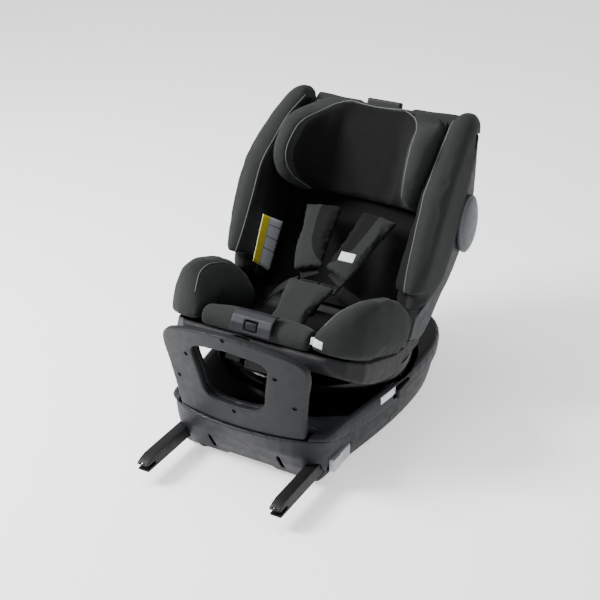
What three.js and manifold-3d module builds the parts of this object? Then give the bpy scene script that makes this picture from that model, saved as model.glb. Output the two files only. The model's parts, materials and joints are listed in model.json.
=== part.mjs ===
// A convertible child car seat: a docking base with two anchor arms and an upright rebound bar,
// a full-circle swivel turntable, and a padded bucket seat that reclines on it.
// Millimetres, +Z up. The seat faces -Y, and +X is the child's left.

import * as THREE from 'three';
import * as BufferGeometryUtils from 'three/addons/utils/BufferGeometryUtils.js';
import Module from 'manifold-3d';

const wasm = await Module();
wasm.setup();

// ---------------------------------------------------------------- driving dimensions

const CLEAR = 0.5; // gap between pieces that fit together
const WALL = 3.5; // moulded wall
const SEAT_TILT = 22; // how far the seat leans back, degrees
const SWIVEL_Y = 57.6; // the swivel axis behind the middle of the object's length

// base
const FLOOR_GAP = 6; // underside of the base above the floor
const BELT_Z = 75; // where the lower and upper shells meet at the sides
const RIM_Z = 112; // top of the lower shell under the rebound bar
const DECK_Z = 124; // top of the upper shell
const BASE_FRONT = -320;
const RING_OPENING_R = 199; // round opening that the turntable sits in
const PLATE_Z = 79; // underside of the floor plate inside the upper shell

// rebound bar
const BAR_LEAN = 11; // degrees, top outwards
const BAR_T = 28;
const BAR_FRONT = -317; // front face at its foot, on the centre line
const BAR_BOW = 15 / (120 * 120); // how the bar bows forwards in plan
const BAR_H = 205;

// anchor arms, 280 mm between centres
const ARM_X = 140;
const ARM_W = 22;
const ARM_H = 26;
const ARM_Z = 42.5;
const ARM_TIP = -424;
const ARM_TAIL = -180;

// support leg, folded flat under the base
const LEG_PIVOT = [0, 236, 36];
const LEG_W = 46;
const LEG_D = 26;
const LEG_L = 330;

// turntable and recline
const BOWL_R = 190;
const BOWL_TOP = 150;
const RECLINE_Z = 560; // height of the virtual recline axis above the floor
const RECLINE_R = 414; // underside of the seat about that axis
const RAIL_X = 70;
const RAIL_W = 12;
const RAIL_H = 7;

// seat shell, in the leaning seat's own frame
const TUB_HALF_W = 202;
const TUB_WALL = 5;
const CUSHION_HALF_W = 113;

const rad = THREE.MathUtils.degToRad;
const tilt = rad(SEAT_TILT);
const RECLINE_AXIS = [-RECLINE_Z * Math.sin(tilt), RECLINE_Z * Math.cos(tilt)];

// ---------------------------------------------------------------- solids

function toSolid(geometry) {
  const bare = geometry.index ? geometry.toNonIndexed() : geometry.clone();
  bare.deleteAttribute('normal');
  bare.deleteAttribute('uv');
  const merged = BufferGeometryUtils.mergeVertices(bare, 1e-4);
  return new wasm.Manifold(new wasm.Mesh({
    numProp: 3,
    vertProperties: new Float32Array(merged.attributes.position.array),
    triVerts: new Uint32Array(merged.index.array),
  }));
}

function toGeometry(solid) {
  const mesh = solid.getMesh();
  const geometry = new THREE.BufferGeometry();
  geometry.setAttribute('position', new THREE.BufferAttribute(new Float32Array(mesh.vertProperties), 3));
  geometry.setIndex(new THREE.BufferAttribute(new Uint32Array(mesh.triVerts), 1));
  const flat = geometry.toNonIndexed();
  flat.computeVertexNormals();
  return flat;
}

function cut(body, ...tools) {
  return tools.reduce((left, tool) => left.subtract(tool), body);
}

function join(body, ...more) {
  return more.reduce((left, piece) => left.add(piece), body);
}

// The main body that is left when a cut also leaves slivers.
function largest(solid) {
  return solid.decompose().sort((a, b) => b.volume() - a.volume())[0];
}

// A closed solid skinned over rings of points: the same number of points in each ring.
function skin(rings, drop) {
  const around = rings[0].length;
  const positions = [];
  const put = (...points) => points.forEach((p) => positions.push(p[0], p[1], p[2]));
  for (let k = 0; k + 1 < rings.length; k += 1) {
    for (let i = 0; i < around; i += 1) {
      const j = (i + 1) % around;
      const [a, b, c, d] = [rings[k][i], rings[k][j], rings[k + 1][j], rings[k + 1][i]];
      put(a, b, c);
      put(a, c, d);
    }
  }
  const keep = [0, 1, 2].filter((axis) => axis !== drop);
  const cap = (ring, flip) => {
    const flatRing = ring.map((p) => new THREE.Vector2(p[keep[0]], p[keep[1]]));
    const faces = around === 4 ? [[0, 1, 2], [0, 2, 3]] : THREE.ShapeUtils.triangulateShape(flatRing, []);
    faces.forEach(([i, j, k]) => {
      put(ring[i], flip ? ring[k] : ring[j], flip ? ring[j] : ring[k]);
    });
  };
  const geometry = () => {
    const made = new THREE.BufferGeometry();
    made.setAttribute('position', new THREE.Float32BufferAttribute(positions, 3));
    return made;
  };
  const sides = positions.length;
  for (const flip of [false, true]) {
    positions.length = sides;
    cap(rings[0], flip);
    cap(rings[rings.length - 1], !flip);
    try {
      const solid = toSolid(geometry());
      if (Math.abs(solid.volume()) > 1) return solid.volume() > 0 ? solid : toSolid(inverted(geometry()));
    } catch (error) {
      if (flip) throw error;
    }
  }
  throw new Error('the rings do not close');
}

function inverted(geometry) {
  const array = geometry.attributes.position.array;
  for (let i = 0; i < array.length; i += 9) {
    for (let axis = 0; axis < 3; axis += 1) {
      [array[i + axis], array[i + 6 + axis]] = [array[i + 6 + axis], array[i + axis]];
    }
  }
  return geometry;
}

function shapeOf(points) {
  return new THREE.Shape(points.map(([x, y]) => new THREE.Vector2(x, y)));
}

// An outline in X, Y carried up from z0 to z1.
function upright(points, z0, z1) {
  const geometry = new THREE.ExtrudeGeometry(shapeOf(points), { depth: z1 - z0, bevelEnabled: false });
  geometry.translate(0, 0, z0);
  return toSolid(geometry);
}

// An outline in Y, Z carried across from x0 to x1.
function across(points, x0, x1) {
  const geometry = new THREE.ExtrudeGeometry(shapeOf(points), { depth: x1 - x0, bevelEnabled: false });
  geometry.applyMatrix4(new THREE.Matrix4().makeBasis(
    new THREE.Vector3(0, 1, 0), new THREE.Vector3(0, 0, 1), new THREE.Vector3(1, 0, 0)));
  geometry.translate(x0, 0, 0);
  return toSolid(geometry);
}

// An outline in X, Z carried back from y0 to y1.
function lengthways(points, y0, y1) {
  const geometry = new THREE.ExtrudeGeometry(shapeOf(points), { depth: y1 - y0, bevelEnabled: false });
  geometry.rotateX(Math.PI / 2);
  geometry.translate(0, y1, 0);
  return toSolid(geometry);
}

function block(x0, x1, y0, y1, z0, z1) {
  const geometry = new THREE.BoxGeometry(x1 - x0, y1 - y0, z1 - z0);
  geometry.translate((x0 + x1) / 2, (y0 + y1) / 2, (z0 + z1) / 2);
  return toSolid(geometry);
}

// A straight bar with bevelled edges, for buttons and rails.
function pad(x0, x1, y0, y1, z0, z1, bevel) {
  const shape = shapeOf([
    [x0 + bevel, z0 + bevel], [x1 - bevel, z0 + bevel], [x1 - bevel, z1 - bevel], [x0 + bevel, z1 - bevel],
  ]);
  const geometry = new THREE.ExtrudeGeometry(shape, {
    depth: y1 - y0 - 2 * bevel, bevelSize: bevel, bevelThickness: bevel, bevelSegments: 2, steps: 1,
  });
  geometry.rotateX(Math.PI / 2);
  geometry.translate(0, y1 - bevel, 0);
  return toSolid(geometry);
}

function cylinder(radius, height, axis, at, sides = 40) {
  const geometry = new THREE.CylinderGeometry(radius, radius, height, sides);
  if (axis === 'z') geometry.rotateX(Math.PI / 2);
  if (axis === 'x') geometry.rotateZ(Math.PI / 2);
  geometry.translate(...at);
  return toSolid(geometry);
}

function turned(profile, sides = 64) {
  const geometry = new THREE.LatheGeometry(profile.map(([r, z]) => new THREE.Vector2(r, z)), sides);
  geometry.rotateX(Math.PI / 2);
  return toSolid(geometry);
}

// A flat strip along a path in space, its width along the side direction.
function strip(path, width, thickness, steps, across3 = [1, 0, 0]) {
  const curve = new THREE.CatmullRomCurve3(path.map((p) => new THREE.Vector3(...p)));
  const rings = [];
  for (let k = 0; k <= steps; k += 1) {
    const at = curve.getPoint(k / steps);
    const along = curve.getTangent(k / steps);
    const up = new THREE.Vector3(...across3).cross(along).normalize();
    const side = new THREE.Vector3().crossVectors(along, up).normalize();
    const corner = (u, v) => at.clone().addScaledVector(side, u).addScaledVector(up, v).toArray();
    const [w, t] = [width / 2, thickness / 2];
    rings.push([corner(-w, -t), corner(w, -t), corner(w, t), corner(-w, t)]);
  }
  return skin(rings, 1);
}

function bothSides(half) {
  const left = half.filter(([x]) => x > 0).map(([x, y]) => [-x, y]).reverse();
  return [...half, ...left];
}

// A smooth line through the points of an outline, with several steps between each two.
function rounded(points, steps = 2) {
  const curve = new THREE.CatmullRomCurve3(
    points.map(([x, y]) => new THREE.Vector3(x, y, 0)), false, 'centripetal');
  const spans = (points.length - 1) * steps;
  const line = [];
  for (let k = 0; k <= spans; k += 1) {
    const at = curve.getPoint(k / spans);
    line.push([at.x, at.y]);
  }
  return line;
}

function grown(points, by) {
  const count = points.length;
  return points.map(([x, y], i) => {
    const [ax, ay] = points[(i + count - 1) % count];
    const [bx, by2] = points[(i + 1) % count];
    const length = Math.hypot(bx - ax, by2 - ay);
    return [x + (by * (by2 - ay)) / length, y - (by * (bx - ax)) / length];
  });
}

function interpolate(table, at, column) {
  const last = table.length - 1;
  if (at <= table[0][0]) return table[0][column];
  for (let i = 0; i < last; i += 1) {
    if (at <= table[i + 1][0]) {
      const share = (at - table[i][0]) / (table[i + 1][0] - table[i][0]);
      return table[i][column] + share * (table[i + 1][column] - table[i][column]);
    }
  }
  return table[last][column];
}

const mirrored = (solid) => solid.mirror([1, 0, 0]);
const SIDES = [['right', -1], ['left', 1]]; // the child's right and left
const onSide = (solid, sign) => (sign > 0 ? solid : mirrored(solid));

// ---------------------------------------------------------------- materials

function moulded(color, roughness = 0.55) {
  return new THREE.MeshStandardMaterial({ color, roughness, metalness: 0 });
}

const SLATE = 0x43444a;
const GRAPHITE = 0x2f3034;
const GLOSS_BLACK = 0x0c0c0d;
const LIGHT_GREY = 0xc3c5c8;
const FABRIC = 0x444746;
const FABRIC_DARK = 0x232324;
const WEBBING = 0x2b2c2e;
const STEEL = 0x8e9195;
const BUCKLE_RED = 0xa3201c;

const steel = () => new THREE.MeshStandardMaterial({ color: STEEL, roughness: 0.35, metalness: 0.9 });

function named(name, solid, material) {
  const mesh = new THREE.Mesh(toGeometry(solid), material);
  mesh.name = name;
  return mesh;
}

// ---------------------------------------------------------------- base

const BASE_WALL = 4.5;
const BASE_PLAN = bothSides(rounded([
  [0, BASE_FRONT], [60, -316], [108, -305], [140, -292], [157, -278], [163, -255],
  [165, -220], [173, -165], [184, -95], [193, -20], [196, 50], [193, 120],
  [181, 175], [158, 215], [120, 245], [62, 261], [0, 264],
]));

// The front face is straight across at its foot and bows out towards the rim.
const FRONT_LIMIT = [[FLOOR_GAP, -268], [14, -273], [44, -291], [BELT_Z, -306], [RIM_Z, -330]];

// Levels are heights with how far the outline grows there; the wall moves the front face back.
function baseBody(levels, wall = 0) {
  return skin(levels.map(([z, by]) => {
    const limit = interpolate(FRONT_LIMIT, z, 1) + wall;
    return grown(BASE_PLAN, by).map(([x, y]) => [x, Math.max(y, limit + 0.00002 * x * x), z]);
  }), 2);
}

// The line where the two shells meet: high under the bar, falling to the belt at the sides.
function underSeam(lift) {
  const seam = [
    [-420, RIM_Z + lift], [-285, RIM_Z + lift], [-255, 100 + lift],
    [-200, 84 + lift], [-130, BELT_Z + lift], [330, BELT_Z + lift],
  ];
  return across([[-420, -40], [330, -40], ...seam.reverse()], -260, 260);
}

// Everything in front of the bar's rear face, to keep the upper shell clear of it.
function aheadOfBar(gap) {
  const line = [];
  for (let x = -138; x <= 138; x += 23) line.push([x, BAR_FRONT + BAR_T + gap + 1 + BAR_BOW * x * x]);
  return upright([[-138, -460], [138, -460], ...line.reverse()], 60, 400);
}

// The folded leg lies in a channel that is open below and behind; a shallow notch in front
// leaves room for fingers.
function legChannel() {
  const channel = block(-LEG_W / 2 - 3, LEG_W / 2 + 3, -250, 300, -2, 60);
  const fingerNotch = block(-50, 50, -360, -240, -2, 13);
  return join(channel, fingerNotch);
}

function baseLowerShell() {
  const outside = [[FLOOR_GAP, -20], [14, -13], [44, -5], [BELT_Z, 0], [RIM_Z, 3]];
  const inside = [[12, -24], [44, -9.5], [BELT_Z, -4], [RIM_Z + 4, -1]];
  const channelWalls = block(-LEG_W / 2 - 7, LEG_W / 2 + 7, -254, 290, 0, 64);
  const notchWalls = block(-54, 54, BASE_FRONT, -236, 0, 17);
  const frontDeck = block(-200, 200, BASE_FRONT - 10, -262, RIM_Z - 6, RIM_Z + 10);
  const hollow = cut(baseBody(inside, BASE_WALL), channelWalls, notchWalls, frontDeck);
  const armTunnels = SIDES.map(([, sign]) => block(
    sign * ARM_X - ARM_W / 2 - 1.5, sign * ARM_X + ARM_W / 2 + 1.5,
    BASE_FRONT - 20, -120, ARM_Z - ARM_H / 2 - 1.5, ARM_Z + ARM_H / 2 + 1.5));
  const slots = SIDES.map(([, sign]) => block(sign * 75 - 3, sign * 75 + 3, -340, -250, 22, 60));
  const releaseWindows = SIDES.map(([, sign]) => onSide(block(135, 200, -252, -180, 24, 53), sign));
  const hingeBore = cylinder(5.5, 80, 'x', LEG_PIVOT, 24);
  const trimmed = baseBody(outside).intersect(underSeam(-CLEAR / 2));
  return cut(trimmed, hollow, legChannel(), ...armTunnels, ...slots, ...releaseWindows, hingeBore);
}

function baseUpperShell() {
  const outside = [[BELT_Z - 8, 0], [BELT_Z + 6, 6], [106, 9], [118, 7], [DECK_Z, 0]];
  const inside = [[BELT_Z - 10, -5], [PLATE_Z, -3]];
  const opening = cylinder(RING_OPENING_R, 60, 'z', [0, 0, PLATE_Z + WALL + 30], 72);
  const lowered = cut(baseBody(outside), underSeam(CLEAR / 2), aheadOfBar(CLEAR));
  const leverNotches = SIDES.map(([, sign]) => onSide(block(178, 230, -58, -2, 87, 111), sign));
  return cut(lowered, baseBody(inside), opening, hubHole(2), ...leverNotches);
}

function hubHole(gap) {
  return cylinder(40 + gap, 40, 'z', [0, 0, PLATE_Z], 40);
}

function bearingRing() {
  return turned([[46, 82.8], [118, 82.8], [118, 88.2], [46, 88.2], [46, 82.8]], 64);
}

function turntableHub() {
  return turned([[0, 72], [58, 72], [58, 78.7], [39, 78.7], [39, 90.1], [0, 90.1]], 48);
}

const BAR_SHOULDER = [
  [144, 100], [151, 135], [150, 154], [142, 168], [127, 179], [96, 190], [50, 200], [0, BAR_H],
];
const BAR_OUTLINE = bothSides([
  [0, -2], [60, -1.6], [112, -1], [131, 0], [134, 12], [137, 50], ...rounded(BAR_SHOULDER, 3),
]);
const BAR_WINDOW = bothSides(rounded([
  [0, 46], [38, 48], [54, 54], [63, 66], [68, 95], [77, 140], [77, 151], [70, 160], [50, 166], [0, 172],
], 3));

// One half of the bar, its front or its rear shell: the outline cut from a band that bows
// forwards in plan, sheared so that it leans outwards.
function barShell(from, to, inset) {
  const line = (depth) => {
    const points = [];
    for (let x = -165; x <= 165; x += 15) points.push([x, BAR_FRONT + depth + BAR_BOW * x * x]);
    return points;
  };
  const band = upright([...line(from), ...line(to).reverse()], -20, BAR_H + 20);
  const outline = grown(BAR_OUTLINE, -inset).map(([x, z]) => [x, Math.max(z, -2)]);
  const plate = cut(lengthways(outline, -400, -200), lengthways(BAR_WINDOW, -410, -190));
  const sheared = toGeometry(band.intersect(plate));
  sheared.applyMatrix4(new THREE.Matrix4().makeShear(0, 0, 0, 0, 0, -Math.tan(rad(BAR_LEAN))));
  sheared.translate(0, 0, RIM_Z + 3);
  return toSolid(sheared);
}

const barFront = () => barShell(0, BAR_T / 2 - 0.2, 0);
const barRear = () => barShell(BAR_T / 2 + 0.2, BAR_T, 8);

function rubberFoot(x, y) {
  return turned([[0, 0], [13, 0], [15, 2], [14, FLOOR_GAP - 0.3], [0, FLOOR_GAP - 0.3]], 24)
    .translate([x, y, 0]);
}

function armRail(sign) {
  const cage = block(ARM_X - 16, ARM_X + 10, -170, 120, 20, 58);
  const bore = block(ARM_X - ARM_W / 2 - 1.5, ARM_X + ARM_W / 2 + 2.5, -171, 118,
    ARM_Z - ARM_H / 2 - 1, ARM_Z + ARM_H / 2 + 1);
  return onSide(cut(cage, bore), sign);
}

function hingePin() {
  return cylinder(5, LEG_W + 12, 'x', LEG_PIVOT, 24);
}

// ---------------------------------------------------------------- anchor arms

function anchorArm(sign) {
  const [y0, y1] = [ARM_TIP, ARM_TAIL];
  const [z0, z1] = [ARM_Z - ARM_H / 2, ARM_Z + ARM_H / 2];
  const outline = [
    [y1, z0], [y1, z1], [y0 + 26, z1], [y0 + 12, z1 - 3], [y0 + 3, z1 - 7], [y0, z1 - 10],
    [y0 + 4, z1 - 12], [y0 + 28, z1 - 13], [y0 + 30, z0 + 6], [y0 + 4, z0 + 5],
    [y0 + 2, z0 + 3], [y0 + 6, z0],
  ];
  const bar = across(outline.reverse(), ARM_X - ARM_W / 2, ARM_X + ARM_W / 2);
  const hookPocket = block(ARM_X - 5.5, ARM_X + 5.5, y0 + 2, y0 + 46, z0 + 4, z0 + 19);
  return onSide(cut(bar, hookPocket), sign);
}

function anchorHook(sign) {
  const base = [ARM_TIP, ARM_Z - ARM_H / 2];
  const outline = [
    [14, 8], [20, 7.5], [22, 11], [28, 11], [30, 7], [42, 7], [43, 13], [40, 17], [18, 17], [14, 13],
  ];
  const hook = across(outline.map(([y, z]) => [base[0] + y, base[1] + z]), ARM_X - 4.5, ARM_X + 4.5);
  return onSide(hook, sign);
}

function releaseButton(sign) {
  const ribs = [];
  for (let k = 0; k < 4; k += 1) ribs.push(block(163, 172, -214 + k * 8, -211.5 + k * 8, 27, 50));
  const body = join(
    pad(156, 167, -250, -222, 25.5, 51.5, 2), pad(156, 166, -223, -182, 25.5, 51.5, 2));
  const clipped = ribs.map((rib) => rib.intersect(block(160, 167.8, -220, -180, 27, 50)));
  return onSide(join(body, ...clipped), sign);
}

// ---------------------------------------------------------------- support leg

const LEG_TUBE_W = LEG_W - 12;
const LEG_TUBE_D = LEG_D - 10;

function supportLeg() {
  const [, y, z] = LEG_PIVOT;
  const [z0, z1] = [z - LEG_D / 2, z + LEG_D / 2];
  const outline = [
    [y + 8, z0 + 4], [y, z0], [y - LEG_L, z0], [y - LEG_L, z1], [y, z1], [y + 8, z1 - 4], [y + 12, z],
  ];
  const body = across(outline.reverse(), -LEG_W / 2, LEG_W / 2);
  const bore = block(-LEG_TUBE_W / 2 - 1, LEG_TUBE_W / 2 + 1, y - LEG_L - 5, y - 30,
    z - LEG_TUBE_D / 2 - 1, z + LEG_TUBE_D / 2 + 1);
  const pinHole = cylinder(5.5, LEG_W + 20, 'x', LEG_PIVOT, 24);
  const buttonHole = block(-9, 9, y - LEG_L + 12, y - LEG_L + 36, z0 - 5, z);
  return cut(body, bore, pinHole, buttonHole);
}

function innerLeg() {
  const [, y, z] = LEG_PIVOT;
  const [y0, y1] = [y - LEG_L - 30, y - 60];
  return block(-LEG_TUBE_W / 2, LEG_TUBE_W / 2, y0, y1, z - LEG_TUBE_D / 2, z + LEG_TUBE_D / 2);
}

function legFoot() {
  const [, y, z] = LEG_PIVOT;
  const [y0, y1] = [y - LEG_L - 31, y - LEG_L - 57];
  const outline = [
    [y0, z - 10], [y1 + 6, z - 22], [y1, z - 20], [y1, z + 16], [y1 + 6, z + 18], [y0, z + 10],
  ];
  return across(outline.reverse(), -LEG_W / 2, LEG_W / 2);
}

function legButton() {
  const [, y, z] = LEG_PIVOT;
  return block(-8, 8, y - LEG_L + 13, y - LEG_L + 35, z - LEG_D / 2 - 3, z - LEG_TUBE_D / 2 - 2.6);
}

// ---------------------------------------------------------------- turntable

function arcPoints(radius, from, to, steps, centre) {
  const points = [];
  for (let k = 0; k <= steps; k += 1) {
    const angle = THREE.MathUtils.degToRad(from + ((to - from) * k) / steps);
    points.push([centre[0] + radius * Math.sin(angle), centre[1] - radius * Math.cos(angle)]);
  }
  return points;
}

function turntable() {
  const bowl = turned([
    [0, 88.5], [58, 88.5], [60, 90.5], [150, 90.5], [172, 92], [184, 98], [BOWL_R, 108], [BOWL_R + 3, 120],
    [BOWL_R + 1, 146], [BOWL_R - 3, BOWL_TOP], [0, BOWL_TOP],
  ], 72);
  const saddle = cylinder(RECLINE_R + 3, 500, 'x', [0, 0, RECLINE_Z], 180);
  const underside = turned([[64, 80], [150, 80], [168, 100], [174, 128], [64, 128], [64, 80]], 48);
  const railSeats = [-1, 1].map((sign) => railRing(sign, 0.4, -34, 34));
  return cut(bowl, saddle, underside, hubRecess(), ...railSeats);
}

function hubRecess() {
  return cylinder(44, 2.4, 'z', [0, 0, 89.2], 40);
}

function railRing(sign, gap, from, to) {
  const outer = arcPoints(RECLINE_R + 8 + gap, from, to, 24, [0, RECLINE_Z]);
  const inner = arcPoints(RECLINE_R + 1 - RAIL_H - gap, from, to, 24, [0, RECLINE_Z]).reverse();
  const half = RAIL_W / 2 + gap;
  return across([...outer, ...inner], sign * RAIL_X - half, sign * RAIL_X + half);
}

const reclineRail = (sign) => railRing(sign, 0, -23, 23);

function swivelLever(sign) {
  return onSide(pad(197, 206, -56, -4, 89, 109, 2), sign);
}

// ---------------------------------------------------------------- seat shell

// In the seat's frame the recline axis is at RECLINE_AXIS in Y, Z.
function tubProfile(grow) {
  const under = arcPoints(RECLINE_R + grow, -15.6, 30.2, 18, RECLINE_AXIS);
  return [
    ...under, [10 + grow, 190], [27 + grow, 225], [38 + grow, 262], [30, 262 + grow],
    [-10, 216 + grow], [-60, 174 + grow], [-150, 154 + grow], [-250, 150 + grow],
    [-330, 154 + grow], [-337 - grow, 146], [-334 - grow, 134],
  ];
}

function tubPlan(by) {
  const half = [
    [0, -346 - by], [110, -344 - by], [150 + by, -334 - by], [180 + by, -305], [TUB_HALF_W - 2 + by, -265],
    [TUB_HALF_W + by, -230], [TUB_HALF_W + by, -95], [193 + by, -94], [193 + by, 80],
  ];
  return upright(bothSides(half).filter(([x, y]) => !(x === 0 && y > 0)), 60, 330);
}

function tubBody(grow) {
  return across(tubProfile(grow), -240, 240).intersect(tubPlan(grow));
}

function seatShellLower() {
  const inner = [
    ...arcPoints(RECLINE_R - TUB_WALL, -15, 29, 18, RECLINE_AXIS), [4, 190], [21, 225], [32, 262],
    [40, 330], [-324, 330], [-326, 140],
  ];
  const hollow = across(inner, -240, 240).intersect(tubPlan(-TUB_WALL));
  const grooves = [-1, 1].map((sign) => {
    const flat = railRing(sign, 1, -60, 60);
    return flat.rotate([SEAT_TILT, 0, 0]);
  });
  const ribs = [-1, 1].map((sign) => {
    const half = RAIL_W / 2 + 5;
    const arc = [
      ...arcPoints(RECLINE_R, -14, 29, 18, RECLINE_AXIS),
      ...arcPoints(RECLINE_R - RAIL_H - 6, -14, 29, 18, RECLINE_AXIS).reverse(),
    ];
    return across(arc, sign * RAIL_X - half, sign * RAIL_X + half);
  });
  const walls = join(cut(tubBody(0), hollow), ...ribs);
  const adjusterSlot = block(-42, -6, -352, -320, 128, 148);
  return cut(walls, ...grooves, adjusterSlot);
}

// Height, outer half-width, rear face on the centre line, front edge of the plastic.
const BACK_TABLE = [
  [178, 205, -2, -90], [192, 206, 16, -90], [225, 208, 36, -88], [262, 211, 50, -40], [300, 215, 72, -6],
  [356, 219, 92, 4], [420, 221, 100, 4], [475, 220, 101, 22], [535, 214, 98, 46], [590, 206, 91, 64],
];

function backBody(gap) {
  const rings = BACK_TABLE.map(([z, half, rear, front], index) => {
    const top = index === BACK_TABLE.length - 1 ? z + gap : z;
    const wall = TUB_WALL + gap;
    const bend = Math.max(front + 6, rear - 34);
    const outer = [[half + gap, front - gap], [half + gap, bend], [half - 12, rear - 14],
      [half - 50, rear - 5], [0, rear]];
    const inner = [
      [0, rear - wall], [half - 50, rear - 5 - wall], [half - 12 - wall * 0.75, rear - 14 - wall * 0.85],
      [half - wall, bend - 2], [half - wall, front - gap],
    ];
    const rightOuter = outer.map(([x, y]) => [x, y, top]);
    const leftOuter = outer.slice(0, -1).reverse().map(([x, y]) => [-x, y, top]);
    const leftInner = inner.slice(1).reverse().map(([x, y]) => [-x, y, top]);
    const rightInner = inner.map(([x, y]) => [x, y, top]);
    return [...rightOuter, ...leftOuter, ...leftInner, ...rightInner];
  });
  return skin(rings, 2);
}

function seatShellBack() {
  return cut(backBody(0), tubBody(CLEAR));
}

// ---------------------------------------------------------------- soft parts, plain solids

// Height, front edge, piping line, inner face, rear end.
const WING_TABLE = [
  [230, -86, 176, 150, 12], [265, -88, 180, 152, 28], [269, -124, 183, 155, 30], [312, -119, 180, 158, 42],
  [359, -112, 178, 162, 48], [410, -106, 176, 167, 49], [460, -98, 175, 168, 49], [508, -70, 171, 168, 49],
  [557, -37, 168, 167, 49], [591, -9, 165, 165, 49], [593, -7, 165, 165, 84], [608, 8, 164, 165, 83],
  [622, 24, 168, 168, 77], [631, 46, 178, 176, 68],
];

function wingCover(sign) {
  const rings = WING_TABLE.map(([z, front, piping, inner, rear]) => {
    const half = z < 592 ? interpolate(BACK_TABLE, z, 1) : interpolate(
      [[590, 206], [608, 204], [622, 199], [631, 190]], z, 1);
    const depth = Math.min(26, (rear - front) * 0.6);
    return [
      [inner, rear, z], [inner, front + depth, z], [piping, front, z], [(piping + half) / 2, front - 8, z],
      [half - 4, front + 2, z], [half, front + depth * 0.7, z], [half, rear, z],
    ];
  });
  return onSide(largest(cut(skin(rings, 2), backBody(0.8), tubBody(1), protectorHole(1))), sign);
}

// Station along the seat, inner face, outer face, underside, crest height.
const BOLSTER_TABLE = [
  [-346, 120, 146, 168, 196], [-338, 116, 168, 160, 216], [-318, 118, 191, 158, 243],
  [-300, 122, 202, 157, 254], [-262, 128, 209, 154, 266], [-195, 130, 211, 155, 268],
  [-142, 131, 211, 158, 258], [-97, 131, 209, 171, 236],
];

function seatBolster(sign) {
  const rings = BOLSTER_TABLE.map(([y, inner, outer, under, crest]) => {
    const [width, height] = [outer - inner, crest - under];
    return [
      [inner, y, under], [inner + 2, y, under + height * 0.45],
      [inner + width * 0.32, y, under + height * 0.84], [inner + width * 0.68, y, crest],
      [outer - width * 0.1, y, crest - height * 0.12],
      [outer, y, under + height * 0.5], [outer - 1, y, under],
    ];
  });
  return onSide(skin(rings, 1), sign);
}

function seatCushion() {
  const top = [
    [-346, 172], [-342, 186], [-330, 195], [-312, 196], [-292, 187], [-262, 164], [-225, 150],
    [-170, 146], [-110, 152], [-60, 164], [-16, 184],
  ];
  const under = [
    [-12, 172], [-40, 156], [-90, 142], [-150, 130], [-210, 122], [-262, 122], [-305, 136], [-321, 157],
    [-338, 158],
  ];
  const body = across([...top, ...under].reverse(), -CUSHION_HALF_W, CUSHION_HALF_W);
  const aboveFloor = cylinder(RECLINE_R - TUB_WALL - RAIL_H - 3, 500, 'x', [0, ...RECLINE_AXIS], 120);
  const buttonRoom = block(-16, 16, -370, -334, 162, 189);
  return cut(body.intersect(aboveFloor), buttonRoom);
}

function backPad() {
  const front = [[-12, 194], [0, 225], [12, 262], [26, 300], [40, 340], [50, 395], [51, 586]];
  const rear = [[66, 586], [66, 400], [58, 342], [44, 300], [27, 262], [16, 226], [0, 193]];
  return across([...front, ...rear].reverse(), -143, 143);
}

// The padded roll over the top edge of the back, open in the middle for the headrest's guides.
function backTopCover() {
  const roll = [[54, 593], [88, 593], [89, 604], [84, 614], [72, 619], [60, 615], [54, 606]];
  return cut(across(roll, -162, 162), block(-56, 56, 40, 76, 580, 640));
}

function adjusterCover() {
  const rows = [[-350, 160, 20], [-352, 176, 25], [-348, 190, 27], [-338, 199, 27], [-324, 201, 26]];
  const shield = across([
    ...rows.map(([y, z]) => [y - 2, z]), [-323, 197.5], [-334, 197], [-344, 188], [-347.5, 172], [-347, 160],
  ].reverse(), -42, 42);
  return cut(shield, block(-14, 14, -370, -340, 165, 185));
}

function adjusterButton() {
  return pad(-12, 12, -353, -344, 168, 182, 1.5);
}

// The free end of the harness adjuster: a strap that leaves the slot and hangs down.
const STRAP_TAIL = [
  [-24, -330, 136], [-24, -343, 139], [-24, -351, 132], [-24, -354, 120], [-24, -353, 108],
];

const CROTCH_PATH = [[0, -222, 162], [0, -200, 184], [0, -165, 216], [0, -128, 246]];

function buckleBody() {
  const body = pad(-23, 23, -30, 30, -11, 11, 4);
  return placedAtBuckle(cut(body, block(-10, 10, -26, 2, 2, 20), block(-19, 19, 14, 40, -3, 3)));
}

function buckleButton() {
  return placedAtBuckle(block(-9, 9, -25, 1, 6.2, 13));
}

// The buckle lies behind the crotch pad, in line with it.
function placedAtBuckle(solid) {
  return solid.rotate([41, 0, 0]).translate([0, -135.5, 211.5]);
}

function tongue(sign) {
  const blade = block(2, 17, 16, 31, -2, 2);
  const plate = block(2, 42, 30.6, 52, -2, 2);
  const shoulderSlot = block(10, 36, 45, 48.5, -5, 5);
  return placedAtBuckle(onSide(cut(join(blade, plate), shoulderSlot), sign));
}

const LAP_PATH = [[49, -104, 239], [78, -92, 224], [104, -76, 205], [122, -58, 190]];
const SHOULDER_PATH = [[26, -90.5, 254], [34, -83, 267], [45, -60, 303], [57, -18, 358], [66, 14, 398]];
const PAD_LIFT = [0, -7.8, 5.6];

// The shoulder pads lie on the straps, from just above the buckle to just below the headrest.
function padPath() {
  const strapCurve = new THREE.CatmullRomCurve3(SHOULDER_PATH.map((p) => new THREE.Vector3(...p)));
  const stations = [0.16, 0.32, 0.5, 0.7, 0.92];
  return stations.map((t) => strapCurve.getPoint(t).toArray().map((value, axis) => value + PAD_LIFT[axis]));
}

function harnessStrap(path, sign, width, thickness, side) {
  const route = path.map(([x, y, z]) => [sign * x, y, z]);
  return strip(route, width, thickness, 14, [side[0] * sign, side[1], side[2]]);
}

function harnessYoke() {
  return block(-42, 42, 64, 68, 334, 362);
}

// ---------------------------------------------------------------- headrest

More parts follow.
